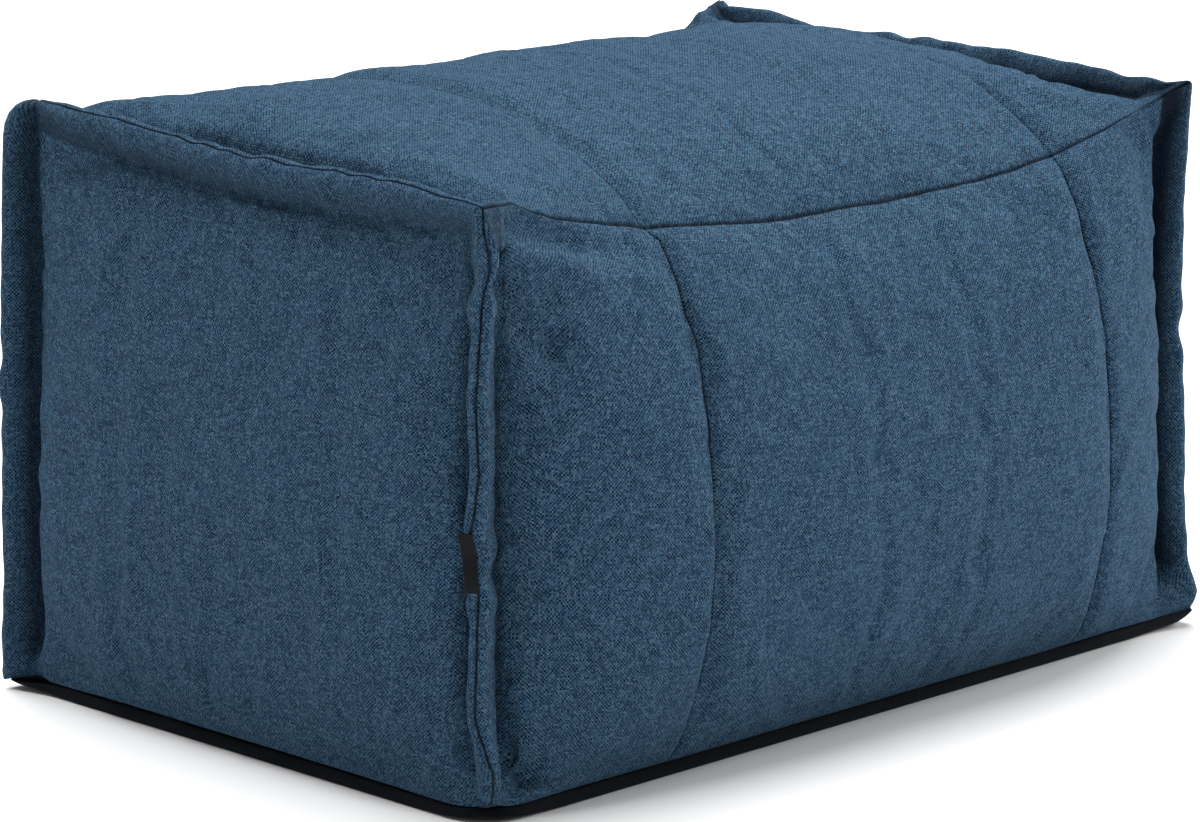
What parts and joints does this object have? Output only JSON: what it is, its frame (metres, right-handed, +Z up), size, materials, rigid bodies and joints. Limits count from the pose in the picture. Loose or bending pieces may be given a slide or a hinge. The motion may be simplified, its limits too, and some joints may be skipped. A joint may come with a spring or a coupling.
{
  "type": "bean bag footstool",
  "caption": "Filled rectangular footstool in woven cloth, with bulging sides, a crowned top, flanged seams round both end panels and a flat base.",
  "frame": {"origin": "on the floor under the middle of the footstool", "axes": "+X along its length towards the end panel without the tab, +Y across it towards the back, +Z up"},
  "size_m": [0.7334, 0.5682, 0.432],
  "materials": {
    "blue_cloth": "matt plain weave, blue with lighter and darker threads",
    "black_cloth": "matt dense weave",
    "black_ribbon": "smooth woven ribbon"
  },
  "bodies": {
    "root": {"filled_body": "blue_cloth", "end_panel_left": "blue_cloth", "end_panel_right": "blue_cloth", "base_panel": "black_cloth", "side_tab": "black_ribbon"}
  },
  "joints": []
}
